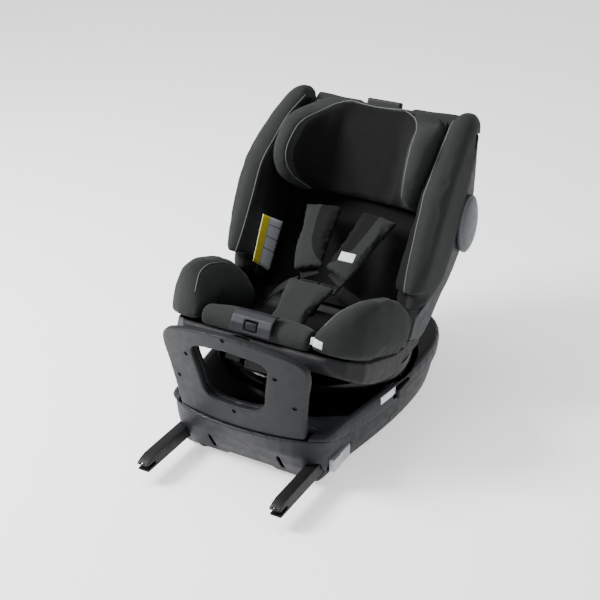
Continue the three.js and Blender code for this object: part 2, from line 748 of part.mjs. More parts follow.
// Height, front of the wings, inner half-width, outer half-width.
const HEADREST_TABLE = [
  [411, -2, 102, 142], [424, -46, 106, 152], [437, -70, 110, 158], [465, -93, 116, 161], [493, -99, 118, 161],
  [520, -92, 116, 161], [547, -80, 113, 160], [573, -49, 106, 156], [598, 6, 88, 146], [616, 24, 60, 120],
];

function headrestCushion() {
  const rings = HEADREST_TABLE.map(([z, front, inner, outer]) => {
    const half = [
      [0, 25], [inner * 0.6, 22], [inner * 0.9, Math.min(12, (front + 25) / 2 + 10)],
      [inner, Math.min(10, front + 30)], [inner + 8, front + 4], [(inner + outer) / 2 + 6, front],
      [outer - 2, front + 12], [outer, Math.max(front + 24, 0)], [outer - 4, 38],
    ];
    const left = half.slice(1).reverse().map(([x, y]) => [-x, y]);
    return [...half, [0, 38.5], ...left].map(([x, y]) => [x, y, z]);
  });
  return skin(rings, 2);
}

function headrestShell() {
  const plate = block(-146, 146, 39.5, 46, 426, 600);
  const hook = block(-52, 52, 40, 67.5, 592, 602);
  return join(plate, hook);
}

function headrestCarriage() {
  const plate = block(-46, 46, 68, 72, 396, 604);
  const window = block(-22, 22, 60, 80, 430, 560);
  return cut(plate, window);
}

function headrestGrip() {
  const grip = pad(-38, 38, 48, 62, 603.5, 622, 3);
  return grip;
}

// ---------------------------------------------------------------- side protectors

const PROTECTOR_X = 226;

function sideProtector(sign) {
  const disc = new THREE.CylinderGeometry(1, 1, 1, 40, 1);
  disc.rotateZ(Math.PI / 2);
  const rim = toSolid(disc).scale([7, 46, 60]);
  const crown = toSolid(new THREE.SphereGeometry(1, 40, 20)).scale([9, 42, 56])
    .intersect(block(0, 20, -70, 70, -70, 70));
  const stub = cylinder(14, 30, 'x', [-17, 0, 0], 24);
  const piece = join(rim, crown.translate([3.2, 0, 0]), stub).rotate([SEAT_TILT, 0, 0]);
  return onSide(piece.translate([PROTECTOR_X, 48, 412]), sign);
}

function protectorHole(sign) {
  return onSide(cylinder(15, 40, 'x', [205, 48, 412], 24), sign);
}

// ---------------------------------------------------------------- assembly

const seatGroup = new THREE.Group();
seatGroup.rotation.x = -tilt;

const docking = new THREE.Group();
docking.add(
  named('base_lower_shell', baseLowerShell(), moulded(SLATE)),
  named('base_upper_shell', baseUpperShell(), moulded(SLATE)),
  named('turntable_bearing_ring', bearingRing(), steel()),
  named('rebound_bar_front_shell', barFront(), moulded(SLATE)),
  named('rebound_bar_rear_shell', barRear(), moulded(GRAPHITE)),
  named('support_leg_hinge_pin', hingePin(), steel()),
  named('support_leg', supportLeg(), moulded(GRAPHITE)),
  named('support_leg_inner', innerLeg(), steel()),
  named('support_leg_foot', legFoot(), moulded(GRAPHITE, 0.8)),
  named('support_leg_button', legButton(), moulded(LIGHT_GREY)),
);
for (const [side, sign] of SIDES) {
  docking.add(
    named(`base_rail_${side}`, armRail(sign), steel()),
    named(`isofix_arm_${side}`, anchorArm(sign), moulded(GRAPHITE)),
    named(`isofix_hook_${side}`, anchorHook(sign), steel()),
    named(`isofix_release_${side}`, releaseButton(sign), moulded(LIGHT_GREY)),
    named(`foot_front_${side}`, rubberFoot(sign * 112, -250), moulded(GLOSS_BLACK, 0.9)),
    named(`foot_rear_${side}`, rubberFoot(sign * 100, 215), moulded(GLOSS_BLACK, 0.9)),
    named(`swivel_lever_${side}`, swivelLever(sign), moulded(GRAPHITE)),
    named(`recline_rail_${side}`, reclineRail(sign), steel()),
  );
}
docking.add(
  named('turntable', turntable(), moulded(GLOSS_BLACK, 0.15)),
  named('turntable_hub', turntableHub(), steel()),
);

seatGroup.add(
  named('seat_shell_lower', seatShellLower(), moulded(SLATE)),
  named('seat_shell_back', cut(seatShellBack(), protectorHole(1), protectorHole(-1)), moulded(SLATE)),
  named('seat_cushion', seatCushion(), moulded(FABRIC, 0.95)),
  named('back_pad', backPad(), moulded(FABRIC_DARK, 0.95)),
  named('back_top_cover', backTopCover(), moulded(FABRIC, 0.95)),
  named('adjuster_cover', adjusterCover(), moulded(SLATE)),
  named('adjuster_button', adjusterButton(), moulded(GLOSS_BLACK)),
  named('adjuster_strap', strip(STRAP_TAIL, 30, 2, 16), moulded(WEBBING, 0.9)),
  named('crotch_pad', strip(CROTCH_PATH, 76, 13, 8), moulded(FABRIC, 0.95)),
  named('buckle_body', buckleBody(), moulded(GLOSS_BLACK, 0.4)),
  named('buckle_button', buckleButton(), moulded(BUCKLE_RED, 0.4)),
  named('harness_yoke', harnessYoke(), steel()),
  named('recline_handle', pad(-4, 46, -344, -325, 97, 116.5, 3), moulded(GRAPHITE)),
  named('headrest_cushion', headrestCushion(), moulded(FABRIC, 0.95)),
  named('headrest_shell', headrestShell(), moulded(GRAPHITE)),
  named('headrest_carriage', headrestCarriage(), steel()),
  named('headrest_grip', headrestGrip(), moulded(GRAPHITE)),
);
for (const [side, sign] of SIDES) {
  const lap = harnessStrap(LAP_PATH, sign, 32, 2, [0, 0.755, 0.656]);
  const shoulder = harnessStrap(SHOULDER_PATH, sign, 38, 2, [1, 0, 0]);
  const chestPad = harnessStrap(padPath(), sign, 58, 14, [1, 0, 0]);
  seatGroup.add(
    named(`seat_bolster_${side}`, seatBolster(sign), moulded(FABRIC, 0.95)),
    named(`wing_cover_${side}`, wingCover(sign), moulded(FABRIC, 0.95)),
    named(`buckle_tongue_${side}`, tongue(sign), steel()),
    named(`lap_strap_${side}`, lap, moulded(WEBBING, 0.9)),
    named(`shoulder_strap_${side}`, shoulder, moulded(WEBBING, 0.9)),
    named(`shoulder_pad_${side}`, chestPad, moulded(FABRIC, 0.95)),
    named(`side_protector_${side}`, sideProtector(sign), moulded(0x80868a, 0.5)),
  );
}

const carSeat = new THREE.Group();
carSeat.position.y = SWIVEL_Y;
carSeat.add(docking, seatGroup);

export default carSeat;
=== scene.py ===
"""A convertible child car seat: upholstery, harness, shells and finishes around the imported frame.

The seat's own frame is tilted back from the object's frame. Upholstery sizes are in millimetres in the
seat's frame: x towards the child's left, y towards the back, z along the backrest.
"""

import json
import logging
import math
from collections.abc import Callable, Sequence
from dataclasses import dataclass
from enum import Enum

import bmesh
import bpy
import numpy as np
from mathutils import Matrix, Vector
from mathutils.bvhtree import BVHTree

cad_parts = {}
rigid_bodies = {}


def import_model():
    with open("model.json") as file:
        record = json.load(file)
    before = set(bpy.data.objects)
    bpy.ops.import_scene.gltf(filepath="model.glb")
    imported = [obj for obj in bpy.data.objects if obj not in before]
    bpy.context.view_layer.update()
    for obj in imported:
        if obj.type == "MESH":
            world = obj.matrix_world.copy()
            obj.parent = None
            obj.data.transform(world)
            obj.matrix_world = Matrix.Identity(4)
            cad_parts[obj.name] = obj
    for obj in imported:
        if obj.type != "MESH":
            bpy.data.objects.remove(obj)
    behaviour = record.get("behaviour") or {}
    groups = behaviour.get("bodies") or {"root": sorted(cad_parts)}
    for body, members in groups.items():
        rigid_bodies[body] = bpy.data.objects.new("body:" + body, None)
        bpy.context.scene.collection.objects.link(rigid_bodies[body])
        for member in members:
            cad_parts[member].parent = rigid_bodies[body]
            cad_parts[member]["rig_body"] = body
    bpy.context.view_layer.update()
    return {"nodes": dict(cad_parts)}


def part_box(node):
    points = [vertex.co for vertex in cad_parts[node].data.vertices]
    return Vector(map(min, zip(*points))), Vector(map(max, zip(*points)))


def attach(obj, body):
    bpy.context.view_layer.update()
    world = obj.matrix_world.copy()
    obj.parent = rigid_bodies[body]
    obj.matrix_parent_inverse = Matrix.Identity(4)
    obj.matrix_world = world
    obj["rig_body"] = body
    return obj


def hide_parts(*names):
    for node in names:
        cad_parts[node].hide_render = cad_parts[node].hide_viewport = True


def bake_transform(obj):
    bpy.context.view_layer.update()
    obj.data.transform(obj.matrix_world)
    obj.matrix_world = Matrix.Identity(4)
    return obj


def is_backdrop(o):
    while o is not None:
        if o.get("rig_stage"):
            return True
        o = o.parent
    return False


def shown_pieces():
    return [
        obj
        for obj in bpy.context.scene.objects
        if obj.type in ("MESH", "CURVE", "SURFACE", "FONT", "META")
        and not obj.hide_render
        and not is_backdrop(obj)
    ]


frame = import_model()

LOG = logging.getLogger("car_seat")
MM = 0.001
SWIVEL_Y = 0.0576
SEAT_TILT = math.radians(22)
RELAX = 0.5
SHARP_ANGLE = math.radians(42)
EASE_ANGLE = math.radians(38)
EASE_STEPS = 3
CLOTH_STEPS = 20
CLOTH_QUALITY = 4
PIPING_PASSES = 3
PIPING_ROUNDS = 6
PATCH_CELLS = 14
PATCH_REACH = 0.03
Point = tuple[float, float, float]
Table = tuple[tuple[float, float], ...]
Piece = bpy.types.Object
Socket = bpy.types.NodeSocket
PanelTest = Callable[[Vector], bool]


class Side(Enum):
    """The child's left or right, with the sign of x on that side."""

    LEFT = 1
    RIGHT = -1

    @property
    def word(self) -> str:
        """The side's name as the nodes spell it."""
        return self.name.lower()


class Wear(Enum):
    """How much lighter an edge is rubbed."""

    NONE = 0.0
    LIGHT = 0.25


def seat_point(x: float, y: float, z: float) -> Vector:
    """Moves a point from the seat's frame to the object's.

    Args:
        x: Millimetres towards the child's left.
        y: Millimetres towards the back of the seat.
        z: Millimetres along the backrest.

    Returns:
        The point in metres in the object's frame.
    """
    c, s = math.cos(SEAT_TILT), math.sin(SEAT_TILT)
    return Vector((x * MM, (y * c + z * s) * MM + SWIVEL_Y, (z * c - y * s) * MM))


def in_seat(point: Vector) -> Vector:
    """Moves a point from the object's frame to the seat's, in millimetres.

    Args:
        point: A point in metres in the object's frame.

    Returns:
        The same point in the seat's frame.
    """
    c, s = math.cos(SEAT_TILT), math.sin(SEAT_TILT)
    y, z = (point.y - SWIVEL_Y) / MM, point.z / MM
    return Vector((point.x / MM, y * c - z * s, y * s + z * c))


def seat_direction(x: float, y: float, z: float) -> Vector:
    """A unit direction given in the seat's frame, in the object's frame."""
    return (seat_point(x, y, z) - seat_point(0, 0, 0)).normalized()


def along(table: Sequence[tuple[float, float]], at: float) -> float:
    """Reads a table of (position, value) rows with straight lines between them."""
    return float(np.interp(at, [row[0] for row in table], [row[1] for row in table]))


# ---------------------------------------------------------------- finishes


class Nodes:
    """A material's node tree, with short calls for the nodes that these finishes share."""

    def __init__(self, name: str) -> None:
        """Starts an empty material with a shader on its output."""
        self.material = bpy.data.materials.new(name)
        self.material.use_nodes = True
        self.tree = self.material.node_tree
        self.shader = self.tree.nodes["Principled BSDF"]

    def add(self, kind: str, **values: object) -> bpy.types.Node:
        """Adds a node, with its properties or its inputs set by name."""
        node = self.tree.nodes.new(kind)
        for key, value in values.items():
            socket = key.replace("_", " ").title()
            if hasattr(node, key):
                setattr(node, key, value)
            else:
                node.inputs[socket].default_value = value
        return node

    def link(self, out: Socket, into: Socket) -> None:
        """Joins two sockets."""
        self.tree.links.new(out, into)

    def place(self, stretch: Point = (1.0, 1.0, 1.0), uv: bool = False) -> Socket:
        """Coordinates in metres on the piece, stretched, or its strap coordinates."""
        source = self.add("ShaderNodeTexCoord")
        mapping = self.add("ShaderNodeMapping")
        mapping.inputs["Scale"].default_value = stretch
        self.link(source.outputs["UV" if uv else "Object"], mapping.inputs["Vector"])
        return mapping.outputs["Vector"]

    def noise(self, place: Socket, scale: float, detail: float = 3.0) -> Socket:
        """A cloudy pattern with features about 1 / scale metres across."""
        node = self.add("ShaderNodeTexNoise", scale=scale, detail=detail)
        self.link(place, node.inputs["Vector"])
        return node.outputs["Fac"]

    def ramp(self, factor: Socket, low: Sequence[float], high: Sequence[float]) -> Socket:
        """A colour that goes from low to high over the middle of a pattern."""
        node = self.add("ShaderNodeValToRGB")
        node.color_ramp.elements[0].position = 0.3
        node.color_ramp.elements[1].position = 0.7
        node.color_ramp.elements[0].color = (*low, 1.0)
        node.color_ramp.elements[1].color = (*high, 1.0)
        self.link(factor, node.inputs["Fac"])
        return node.outputs["Color"]

    def spread(self, factor: Socket, low: float, high: float) -> Socket:
        """A number that goes from low to high with a pattern."""
        node = self.add("ShaderNodeMapRange")
        node.inputs["From Min"].default_value = 0.3
        node.inputs["From Max"].default_value = 0.7
        node.inputs["To Min"].default_value = low
        node.inputs["To Max"].default_value = high
        self.link(factor, node.inputs["Value"])
        return node.outputs["Result"]

    def relief(self, heights: Sequence[tuple[Socket, float, float]]) -> None:
        """Stacks patterns as relief.

        Args:
            heights: Each pattern with its strength and its depth in metres.
        """
        last = None
        for height, strength, depth in heights:
            bump = self.add("ShaderNodeBump", strength=strength, distance=depth)
            self.link(height, bump.inputs["Height"])
            if last is not None:
                self.link(last, bump.inputs["Normal"])
            last = bump.outputs["Normal"]
        self.link(last, self.shader.inputs["Normal"])


def shade(colour: Sequence[float], by: float) -> tuple[float, ...]:
    """A colour made lighter or darker by a factor."""
    return tuple(min(1.0, channel * by) for channel in colour)


@dataclass(frozen=True)
class Knit:
    """A fine knitted cover fabric, with flecked yarn and a soft sheen."""

    name: str
    colour: tuple[float, float, float]
    slot: str
    stitch: float = 0.0013
    sheen: float = 0.05

    def make(self) -> bpy.types.Material:
        """Builds the material."""
        n = Nodes(self.name)
        place = n.place()
        yarn = n.add("ShaderNodeTexVoronoi", scale=1 / self.stitch)
        n.link(place, yarn.inputs["Vector"])
        rows = n.add("ShaderNodeTexWave", scale=0.5 / self.stitch, distortion=1.5)
        n.link(n.place((1.0, 0.6, 1.0)), rows.inputs["Vector"])
        fleck = n.noise(place, 900)
        tone = n.ramp(fleck, shade(self.colour, 0.78), shade(self.colour, 1.22))
        n.link(tone, n.shader.inputs["Base Color"])
        n.link(n.spread(n.noise(place, 35), 0.86, 0.97), n.shader.inputs["Roughness"])
        n.shader.inputs["Sheen Weight"].default_value = self.sheen
        n.shader.inputs["Sheen Roughness"].default_value = 0.45
        n.shader.inputs["Specular IOR Level"].default_value = 0.1
        n.relief([
            (n.noise(place, 28, 2), 0.25, 0.0012),
            (rows.outputs["Fac"], 0.22, 0.0003),
            (yarn.outputs["Distance"], 0.35, 0.0004),
        ])
        return n.material


@dataclass(frozen=True)
class Webbing:
    """Woven strap, its ribs running across and a denser selvedge along both edges."""

    name: str
    colour: tuple[float, float, float]
    slot: str
    ribs: float = 900.0

    def make(self) -> bpy.types.Material:
        """Builds the material."""
        n = Nodes(self.name)
        strap = n.place((1.0, 1.0, 1.0), uv=True)
        weft = n.add("ShaderNodeTexWave", scale=self.ribs / 6, bands_direction="Y")
        warp = n.add("ShaderNodeTexWave", scale=self.ribs / 9, bands_direction="X")
        n.link(strap, weft.inputs["Vector"])
        n.link(strap, warp.inputs["Vector"])
        thread = n.noise(n.place(), 1200)
        tone = n.ramp(thread, shade(self.colour, 0.75), shade(self.colour, 1.3))
        n.link(tone, n.shader.inputs["Base Color"])
        n.link(n.spread(thread, 0.6, 0.8), n.shader.inputs["Roughness"])
        n.shader.inputs["Sheen Weight"].default_value = 0.05
        n.shader.inputs["Specular IOR Level"].default_value = 0.12
        n.relief([(weft.outputs["Fac"], 0.5, 0.0003), (warp.outputs["Fac"], 0.3, 0.0002)])
        return n.material


@dataclass(frozen=True)
class Moulded:
    """Injection-moulded plastic with a fine eroded grain, rubbed a little at its edges."""

    name: str
    colour: tuple[float, float, float]
    slot: str
    roughness: float = 0.5
    grain: float = 0.00009
    coat: float = 0.0
    wear: Wear = Wear.LIGHT
    gloss: float = 0.2

    def make(self) -> bpy.types.Material:
        """Builds the material."""
        n = Nodes(self.name)
        place = n.place()
        tone = n.ramp(n.noise(place, 22), shade(self.colour, 0.93), shade(self.colour, 1.07))
        edge = n.add("ShaderNodeNewGeometry")
        rubbed = n.add("ShaderNodeMapRange")
        rubbed.inputs["From Min"].default_value = 0.53
        rubbed.inputs["From Max"].default_value = 0.68
        rubbed.inputs["To Max"].default_value = self.wear.value
        n.link(edge.outputs["Pointiness"], rubbed.inputs["Value"])
        mix = n.add("ShaderNodeMix", data_type="RGBA")
        n.link(rubbed.outputs["Result"], mix.inputs["Factor"])
        mixed = next(s for s in mix.outputs if s.type == "RGBA")
        colour_in = [s for s in mix.inputs if s.type == "RGBA"]
        n.link(tone, colour_in[0])
        colour_in[1].default_value = (*shade(self.colour, 2.2), 1.0)
        n.link(mixed, n.shader.inputs["Base Color"])
        low, high = self.roughness - 0.05, self.roughness + 0.07
        n.link(n.spread(n.noise(place, 60), low, high), n.shader.inputs["Roughness"])
        n.shader.inputs["Coat Weight"].default_value = self.coat
        n.shader.inputs["Specular IOR Level"].default_value = self.gloss
        n.relief([(n.noise(place, 1500, 4), 0.3, self.grain), (n.noise(place, 14, 1), 0.08, 0.0006)])
        return n.material


@dataclass(frozen=True)
class Metal:
    """Plated or extruded metal with drawn lines along one axis."""

    name: str
    colour: tuple[float, float, float]
    slot: str
    roughness: float = 0.32
    draw: tuple[float, float, float] = (1.0, 0.04, 1.0)

    def make(self) -> bpy.types.Material:
        """Builds the material."""
        n = Nodes(self.name)
        lines = n.noise(n.place(self.draw), 1400, 2)
        tone = n.ramp(n.noise(n.place(), 90), shade(self.colour, 0.9), shade(self.colour, 1.08))
        n.link(tone, n.shader.inputs["Base Color"])
        n.shader.inputs["Metallic"].default_value = 1.0
        n.link(n.spread(lines, self.roughness - 0.06, self.roughness + 0.1), n.shader.inputs["Roughness"])
        n.relief([(lines, 0.2, 0.00005)])
        return n.material


KNIT = Knit("cover_knit", (0.0215, 0.0240, 0.0230), "fabric_main")
KNIT_DARK = Knit("panel_knit", (0.0080, 0.0080, 0.0083), "fabric_dark", sheen=0.02)
PIPING = Knit("piping_cord", (0.115, 0.122, 0.120), "fabric_main", stitch=0.0006)
TAG = Knit("woven_tag", (0.66, 0.69, 0.70), "fabric_main", stitch=0.0005, sheen=0.0)
GREEN = Knit("green_patch", (0.002, 0.013, 0.010), "fabric_dark", sheen=0.04)
STRAP = Webbing("harness_webbing", (0.0075, 0.0078, 0.0085), "webbing")
SLATE = Moulded("base_plastic", (0.0118, 0.0126, 0.0145), "base_shell", 0.5)
GRAPHITE = Moulded("dark_plastic", (0.0085, 0.0088, 0.0096), "dark_plastic", 0.5)
SHELL = Moulded("shell_plastic", (0.0180, 0.0190, 0.0235), "seat_shell", 0.5)
UNDER_SHELL = Moulded("under_shell_plastic", (0.0105, 0.0108, 0.0118), "seat_shell", 0.55)
PIANO = Moulded("turntable_gloss", (0.0015, 0.0015, 0.0018), "turntable_black", 0.2, 0.00001, 0.0, Wear.NONE)
PALE = Moulded("release_plastic", (0.46, 0.47, 0.50), "light_grey_plastic", 0.4)
OVAL = Moulded("protector_plastic", (0.075, 0.082, 0.088), "protector_grey", 0.42)
RUBBER = Moulded("foot_rubber", (0.012, 0.012, 0.012), "rubber", 0.85, 0.0002)
RED = Moulded("buckle_red", (0.37, 0.018, 0.012), "button_red", 0.3)
VINYL = Moulded("label_white", (0.78, 0.81, 0.86), "light_grey_plastic", 0.4, 0.00001, 0.0, Wear.NONE)
VINYL_YELLOW = Moulded("label_yellow", (0.92, 0.76, 0.06), "light_grey_plastic", 0.4, 0.00001, 0.0, Wear.NONE)
STEEL = Metal("plated_steel", (0.20, 0.21, 0.22), "steel")
COATED_STEEL = Metal("coated_steel", (0.020, 0.020, 0.022), "steel", 0.5)
ALLOY = Metal("drawn_alloy", (0.50, 0.50, 0.52), "alloy", 0.38)
Finish = Knit | Webbing | Moulded | Metal


class Paint:
    """Keeps one material for each finish."""

    made: dict[str, bpy.types.Material] = {}

    @classmethod
    def of(cls, finish: Finish) -> bpy.types.Material:
        """The finish's material, built the first time it is wanted."""
        if finish.name not in cls.made:
            cls.made[finish.name] = finish.make()
        return cls.made[finish.name]


# ---------------------------------------------------------------- mesh work


def mesh_of(name: str, work: bmesh.types.BMesh) -> bpy.types.Mesh:
    """Turns finished mesh work into a mesh.

    Args:
        name: The mesh's name.
        work: The mesh work, which is freed.

    Returns:
        The new mesh.
    """
    mesh = bpy.data.meshes.new(name)
    work.to_mesh(mesh)
    work.free()
    return mesh


def piece_from(name: str, mesh: bpy.types.Mesh, finish: Finish, body: str, smooth: bool = True) -> Piece:
    """Makes a piece of a mesh, finishes it and rides it on a body.

    Args:
        name: The piece's name.
        mesh: Its mesh, in the object's frame.
        finish: What it is made of.
        body: The moving body that it rides on.
        smooth: Whether its faces are shaded as one surface.

    Returns:
        The new piece.
    """
    obj = bpy.data.objects.new(name, mesh)
    bpy.context.scene.collection.objects.link(obj)
    mesh.materials.clear()
    mesh.materials.append(Paint.of(finish))
    mesh.polygons.foreach_set("use_smooth", [smooth] * len(mesh.polygons))
    mesh.update()
    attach(obj, body)
    return obj


def node_copy(node: str) -> bpy.types.Mesh:
    """A node's mesh with its corners joined, as a new mesh."""
    work = bmesh.new()
    work.from_mesh(frame["nodes"][node].data)
    bmesh.ops.remove_doubles(work, verts=work.verts, dist=1e-5)
    bmesh.ops.dissolve_degenerate(work, edges=work.edges, dist=1e-6)
    bmesh.ops.recalc_face_normals(work, faces=work.faces)
    mesh = mesh_of(node + "_shape", work)
    return mesh


def settle(obj: Piece) -> None:
    """Replaces a piece's mesh by what its modifiers make of it."""
    bpy.context.view_layer.update()
    evaluated = obj.evaluated_get(bpy.context.evaluated_depsgraph_get())
    mesh = bpy.data.meshes.new_from_object(evaluated)
    obj.modifiers.clear()
    obj.data = mesh


def remeshed(obj: Piece, voxel: float, rounds: int) -> None:
    """Evens a piece out into small faces and rounds its edges.

    Args:
        obj: The piece.
        voxel: The size of a face, in metres.
        rounds: How many times the surface is relaxed.
    """
    remesh = obj.modifiers.new("even", "REMESH")
    remesh.mode = "VOXEL"
    remesh.voxel_size = voxel
    relax = obj.modifiers.new("relax", "SMOOTH")
    relax.factor = RELAX
    relax.iterations = rounds
    settle(obj)


def refined(node: str, finish: Finish, body: str, bevel: float = 0.0010) -> Piece:
    """A hard part with eased edges, in place of its plain node.

    Args:
        node: The node that it stands for.
        finish: What it is made of.
        body: The body that it rides on.
        bevel: The radius of its edges, in metres.

    Returns:
        The new piece.
    """
    mesh = node_copy(node)
    obj = piece_from(node + "_finished", mesh, finish, body)
    ease = obj.modifiers.new("ease", "BEVEL")
    ease.width = bevel
    ease.segments = EASE_STEPS
    ease.limit_method = "ANGLE"
    ease.angle_limit = EASE_ANGLE
    ease.use_clamp_overlap = True
    settle(obj)
    obj.data.set_sharp_from_angle(angle=SHARP_ANGLE)
    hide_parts(node)
    return obj


def moulded(node: str, finish: Finish, body: str, voxel: float = 0.0022, rounds: int = 6) -> Piece:
    """A hard part with full, soft edges, in place of its plain node."""
    obj = piece_from(node + "_moulded", node_copy(node), finish, body)
    remeshed(obj, voxel, rounds)
    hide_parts(node)
    return obj


def swell(obj: Piece, cap: float, pressure: float = 4.0) -> None:
    """Fills a padded piece by a short cloth simulation, and limits how far it grows.

    Args:
        obj: The padded piece.
        cap: The furthest that a point may move, in metres.
        pressure: The pressure inside the cover.
    """
    count = len(obj.data.vertices)
    start = np.empty(count * 3, np.float64)
    obj.data.vertices.foreach_get("co", start)
    cloth = obj.modifiers.new("cloth", "CLOTH")
    cloth.settings.use_pressure = True
    cloth.settings.uniform_pressure_force = pressure
    cloth.settings.effector_weights.gravity = 0.0
    cloth.settings.quality = CLOTH_QUALITY
    cloth.collision_settings.use_collision = False
    for step in range(1, CLOTH_STEPS + 1):
        bpy.context.scene.frame_set(step)
    evaluated = obj.evaluated_get(bpy.context.evaluated_depsgraph_get())
    end = np.empty(count * 3, np.float64)
    evaluated.data.vertices.foreach_get("co", end)
    obj.modifiers.clear()
    bpy.context.scene.frame_set(1)
    start, end = start.reshape(-1, 3), end.reshape(-1, 3)
    move = end - start
    length = np.linalg.norm(move, axis=1, keepdims=True)
    kept = start + move * np.minimum(1.0, cap / np.maximum(length, 1e-9))
    obj.data.vertices.foreach_set("co", kept.ravel())
    obj.data.update()


def upholstered(node: str, body: str, cap: float = 0.004, voxel: float = 0.005,
                rounds: int = 7, finish: Finish = KNIT, dark: PanelTest | None = None,
                reshape: Callable[[Vector], Vector] | None = None) -> Piece:
    """A padded cover in place of its plain solid.

    Args:
        node: The solid that it stands for.
        body: The body that it rides on.
        cap: How far the padding may swell, in metres.
        voxel: The size of a face before the last subdivision, in metres.
        rounds: How many times the surface is relaxed first.
        finish: The cover's fabric.
        dark: Says whether a point in the seat's frame lies in a dark panel.
        reshape: Moves a point in the seat's frame, to cut the cover fuller than its solid.

    Returns:
        The new piece.
    """
    obj = piece_from(node + "_padded", node_copy(node), finish, body)
    if reshape is not None:
        for vertex in obj.data.vertices:
            vertex.co = seat_point(*reshape(in_seat(vertex.co)))
    remeshed(obj, voxel, rounds)
    swell(obj, cap)
    finer = obj.modifiers.new("finer", "SUBSURF")
    finer.levels = finer.render_levels = 1
    settle(obj)
    obj.data.polygons.foreach_set("use_smooth", [True] * len(obj.data.polygons))
    if dark is not None:
        obj.data.materials.append(Paint.of(KNIT_DARK))
        for polygon in obj.data.polygons:
            polygon.material_index = int(dark(in_seat(polygon.center)))
    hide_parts(node)
    return obj


def smooth_path(points: Sequence[Vector], spacing: float = 0.004) -> list[Vector]:
    """A smooth line through points, with even steps.

    Args:
        points: The points that it goes through.
        spacing: The length of a step, in metres.

    Returns:
        The points of the line.
    """
    ends = [points[0] * 2 - points[1], *points, points[-1] * 2 - points[-2]]
    line: list[Vector] = []
    for a, b, c, d in zip(ends, ends[1:], ends[2:], ends[3:]):
        steps = max(1, round((c - b).length / spacing))
        for k in range(steps):
            t = k / steps
            line.append(0.5 * (2 * b + (c - a) * t + (2 * a - 5 * b + 4 * c - d) * t * t
                               + (3 * b - a - 3 * c + d) * t ** 3))
    line.append(points[-1].copy())
    return line


def surface_of(obj: Piece) -> BVHTree:
    """A piece's surface, for finding the nearest point on it."""
    mesh = obj.data
    return BVHTree.FromPolygons([v.co for v in mesh.vertices], [p.vertices for p in mesh.polygons])


def tube(name: str, path: Sequence[Vector], radius: float, finish: Finish, body: str,
         sides: int = 8) -> Piece:
    """A round cord along a line, closed at both ends.

    Args:
        name: The piece's name.
        path: The line that it follows.
        radius: Its radius, in metres.
        finish: What it is made of.
        body: The body that it rides on.
        sides: How many faces go round it.

    Returns:
        The new piece.
    """
    work = bmesh.new()
    rings = []
    side = Vector((0, 0, 1))
    for i, point in enumerate(path):
        direction = (path[min(i + 1, len(path) - 1)] - path[max(i - 1, 0)]).normalized()
        side = (side - direction * side.dot(direction)).normalized()
        other = direction.cross(side)
        turn = [2 * math.pi * k / sides for k in range(sides)]
        ring = [point + (side * math.cos(a) + other * math.sin(a)) * radius for a in turn]
        rings.append([work.verts.new(at) for at in ring])
    for near, far in zip(rings, rings[1:]):
        for k in range(sides):
            m = (k + 1) % sides
            work.faces.new((near[k], near[m], far[m], far[k]))
    work.faces.new(rings[0][::-1])
    work.faces.new(rings[-1])
    bmesh.ops.recalc_face_normals(work, faces=work.faces)
    mesh = mesh_of(name, work)
    return piece_from(name, mesh, finish, body)


def piped(name: str, guides: Sequence[Point], onto: Piece, body: str,
          radius: float = 0.0010) -> Piece:
    """Piping laid on a cover along guide points in the seat's frame.

    Args:
        name: The piece's name.
        guides: Points near the seam, in millimetres in the seat's frame.
        onto: The cover that it is sewn to.
        body: The body that it rides on.
        radius: The piping's radius, in metres.

    Returns:
        The new piece.
    """
    surface = surface_of(onto)
    line = smooth_path([seat_point(*g) for g in guides])
    for _ in range(PIPING_PASSES):
        line = [surface.find_nearest(p)[0] for p in line]
        for _ in range(PIPING_ROUNDS):
            inner = [(a + b * 2 + c) / 4 for a, b, c in zip(line, line[1:], line[2:])]
            line = [line[0], *inner, line[-1]]
    sewn = []
    for point in line:
        on, normal, _, _ = surface.find_nearest(point)
        sewn.append(point + normal * max(0.0, (on - point).dot(normal)))
    return tube(name, sewn, radius, PIPING, body)


